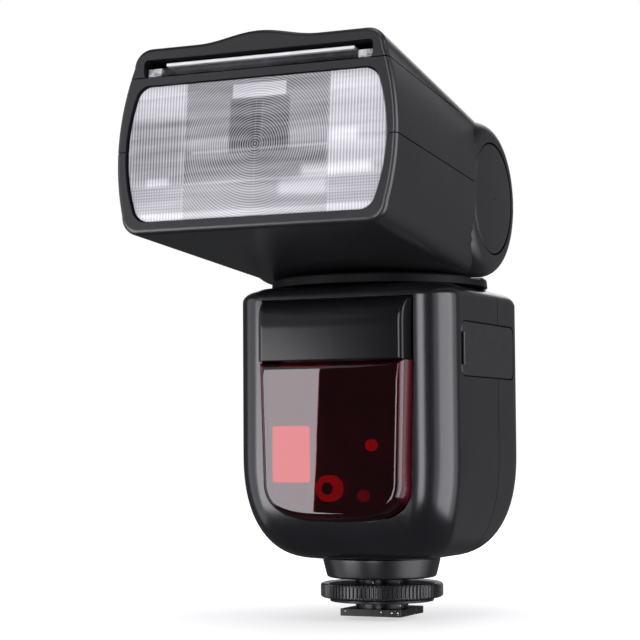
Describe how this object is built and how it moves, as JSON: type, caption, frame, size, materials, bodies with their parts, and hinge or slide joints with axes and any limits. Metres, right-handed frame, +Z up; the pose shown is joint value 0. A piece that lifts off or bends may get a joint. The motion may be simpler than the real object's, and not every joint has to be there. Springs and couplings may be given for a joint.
{
  "type": "speedlight flash",
  "caption": "On-camera flash with a tilting, swivelling rectangular head, red front window, rear controls, side battery and locking shoe foot.",
  "frame": {"origin": "centre of the shoe foot's underside, on the lock ring's and swivel's axis", "axes": "+Z up through the body, -Y along the direction the lens faces, +X to the right of someone facing the lens"},
  "size_m": [0.0786, 0.1205, 0.1543],
  "materials": {
    "black_plastic": "satin moulded",
    "gloss_black": "polished",
    "rubber": "matt",
    "red_clear": "polished, see-through deep red",
    "red_lamp": "satin",
    "clear": "clear plastic",
    "white": "matt",
    "grey_plastic": "matt",
    "mirror": "bright",
    "steel": "machined",
    "black_metal": "black coated",
    "gold": "plated",
    "board_green": "solder mask"
  },
  "bodies": {
    "body": {"shoe_foot": "black_metal", "foot_screw_left": "steel", "foot_screw_right": "steel", "foot_collar": "black_plastic", "front_shell": "black_plastic", "rear_shell": "black_plastic", "red_window": "red_clear", "front_panel": "gloss_black", "window_tray": "black_plastic", "assist_lamp": "red_clear", "sensor_ring": "red_lamp", "indicator_upper": "red_lamp", "indicator_lower": "red_lamp", "port_block": "black_plastic", "main_board": "board_green", "flash_capacitor": "steel", "control_bezel": "gloss_black", "display_window": "clear", "display_module": "grey_plastic"},
    "turret": {"turret_yoke": "black_plastic", "swivel_tube": "steel", "swivel_retainer": "steel", "hinge_shaft": "steel"},
    "head": {"head_lower_shell": "black_plastic", "head_upper_shell": "black_plastic", "head_top_cover": "black_plastic", "head_screw_1": "steel", "head_screw_2": "steel", "fresnel_lens": "clear", "panel_tray": "black_plastic", "zoom_motor": "steel", "hinge_cap_left": "black_plastic", "hinge_cap_right": "black_plastic"},
    "zoom_unit": {"zoom_carriage": "grey_plastic", "reflector": "mirror", "flash_tube": "clear"},
    "lock_ring_part": {"lock_ring": "black_plastic"},
    "clamp_plate_part": {"clamp_plate": "black_metal"},
    "lock_pin_part": {"lock_pin": "steel"},
    "centre_contact_part": {"centre_contact": "gold"},
    "contact_pin_1_part": {"contact_pin_1": "gold"},
    "contact_pin_2_part": {"contact_pin_2": "gold"},
    "contact_pin_3_part": {"contact_pin_3": "gold"},
    "contact_pin_4_part": {"contact_pin_4": "gold"},
    "port_cover_part": {"port_cover": "rubber"},
    "battery_pack_part": {"battery_pack": "black_plastic"},
    "battery_latch_part": {"battery_latch": "black_plastic"},
    "dial_part": {"dial": "black_plastic"},
    "set_key_part": {"set_key": "rubber"},
    "power_switch_part": {"power_switch": "black_plastic"},
    "function_key_1_part": {"function_key_1": "rubber"},
    "function_key_2_part": {"function_key_2": "rubber"},
    "function_key_3_part": {"function_key_3": "rubber"},
    "function_key_4_part": {"function_key_4": "rubber"},
    "test_key_part": {"test_key": "rubber"},
    "mode_key_part": {"mode_key": "rubber"},
    "zoom_screw_part": {"zoom_screw": "steel"},
    "wide_panel_part": {"wide_panel": "clear"},
    "bounce_card_part": {"bounce_card": "white"}
  },
  "joints": [
    {"name": "head_swivel", "type": "hinge", "parent": "body", "child": "turret", "pos_m": [0, 0, 0.0925], "axis": [0, 0, 1], "range_deg": [-180, 180]},
    {"name": "head_tilt", "type": "hinge", "parent": "turret", "child": "head", "pos_m": [0, -0.0033, 0.11665], "axis": [-1, 0, 0], "range_deg": [0, 84.6]},
    {"name": "wide_panel_slide", "type": "slide", "parent": "head", "child": "wide_panel_part", "axis": [0, -0.9864, 0.1643], "range_m": [0, 0.036]},
    {"name": "bounce_card_slide", "type": "slide", "parent": "head", "child": "bounce_card_part", "axis": [0, -0.9864, 0.1643], "range_m": [0, 0.034]},
    {"name": "zoom_slide", "type": "slide", "parent": "head", "child": "zoom_unit", "axis": [0, -0.9956, 0.0941], "range_m": [-0.006, 0.014]},
    {"name": "zoom_screw_turn", "type": "hinge", "parent": "head", "child": "zoom_screw_part", "pos_m": [0.0266, -0.07801, 0.11266], "axis": [0, -0.9956, 0.0941], "range_deg": [-270, 630]},
    {"name": "lock_ring_turn", "type": "hinge", "parent": "body", "child": "lock_ring_part", "pos_m": [0, 0, 0.007], "axis": [0, 0, 1], "range_deg": [0, 270]},
    {"name": "clamp_plate_slide", "type": "slide", "parent": "body", "child": "clamp_plate_part", "axis": [0, 0, -1], "range_m": [0, 0.0015]},
    {"name": "lock_pin_slide", "type": "slide", "parent": "body", "child": "lock_pin_part", "axis": [0, 0, -1], "range_m": [0, 0.0014]},
    {"name": "centre_contact_press", "type": "slide", "parent": "body", "child": "centre_contact_part", "axis": [0, 0, 1], "range_m": [0, 0.0007], "stiffness_N_per_m": 300},
    {"name": "contact_pin_1_press", "type": "slide", "parent": "body", "child": "contact_pin_1_part", "axis": [0, 0, 1], "range_m": [0, 0.0007], "stiffness_N_per_m": 300},
    {"name": "contact_pin_2_press", "type": "slide", "parent": "body", "child": "contact_pin_2_part", "axis": [0, 0, 1], "range_m": [0, 0.0007], "stiffness_N_per_m": 300},
    {"name": "contact_pin_3_press", "type": "slide", "parent": "body", "child": "contact_pin_3_part", "axis": [0, 0, 1], "range_m": [0, 0.0007], "stiffness_N_per_m": 300},
    {"name": "contact_pin_4_press", "type": "slide", "parent": "body", "child": "contact_pin_4_part", "axis": [0, 0, 1], "range_m": [0, 0.0007], "stiffness_N_per_m": 300},
    {"name": "port_cover_open", "type": "hinge", "parent": "body", "child": "port_cover_part", "pos_m": [0.0324, 0.023, 0.07435], "axis": [0, 0, 1], "range_deg": [0, 110]},
    {"name": "battery_slide", "type": "slide", "parent": "body", "child": "battery_pack_part", "axis": [-1, 0, 0], "range_m": [0, 0.055]},
    {"name": "battery_latch_slide", "type": "slide", "parent": "body", "child": "battery_latch_part", "axis": [0, 1, 0], "range_m": [0, 0.003], "stiffness_N_per_m": 300},
    {"name": "dial_turn", "type": "hinge", "parent": "body", "child": "dial_part", "pos_m": [0, 0.0331, 0.037], "axis": [0, -1, 0], "continuous": true},
    {"name": "set_key_press", "type": "slide", "parent": "body", "child": "set_key_part", "axis": [0, -1, 0], "range_m": [0, 0.0008], "stiffness_N_per_m": 400},
    {"name": "function_key_1_press", "type": "slide", "parent": "body", "child": "function_key_1_part", "axis": [0, -1, 0], "range_m": [0, 0.0008], "stiffness_N_per_m": 400},
    {"name": "function_key_2_press", "type": "slide", "parent": "body", "child": "function_key_2_part", "axis": [0, -1, 0], "range_m": [0, 0.0008], "stiffness_N_per_m": 400},
    {"name": "function_key_3_press", "type": "slide", "parent": "body", "child": "function_key_3_part", "axis": [0, -1, 0], "range_m": [0, 0.0008], "stiffness_N_per_m": 400},
    {"name": "function_key_4_press", "type": "slide", "parent": "body", "child": "function_key_4_part", "axis": [0, -1, 0], "range_m": [0, 0.0008], "stiffness_N_per_m": 400},
    {"name": "test_key_press", "type": "slide", "parent": "body", "child": "test_key_part", "axis": [0, -1, 0], "range_m": [0, 0.0008], "stiffness_N_per_m": 400},
    {"name": "mode_key_press", "type": "slide", "parent": "body", "child": "mode_key_part", "axis": [0, -1, 0], "range_m": [0, 0.0008], "stiffness_N_per_m": 400},
    {"name": "power_switch_slide", "type": "slide", "parent": "body", "child": "power_switch_part", "axis": [1, 0, 0], "range_m": [0, 0.005]}
  ],
  "couplings": [
    {"joint": "clamp_plate_slide", "follows": "lock_ring_turn", "m_per_rad": 0.000318},
    {"joint": "lock_pin_slide", "follows": "lock_ring_turn", "m_per_rad": 0.000297},
    {"joint": "zoom_screw_turn", "follows": "zoom_slide", "rad_per_m": 785.4}
  ]
}
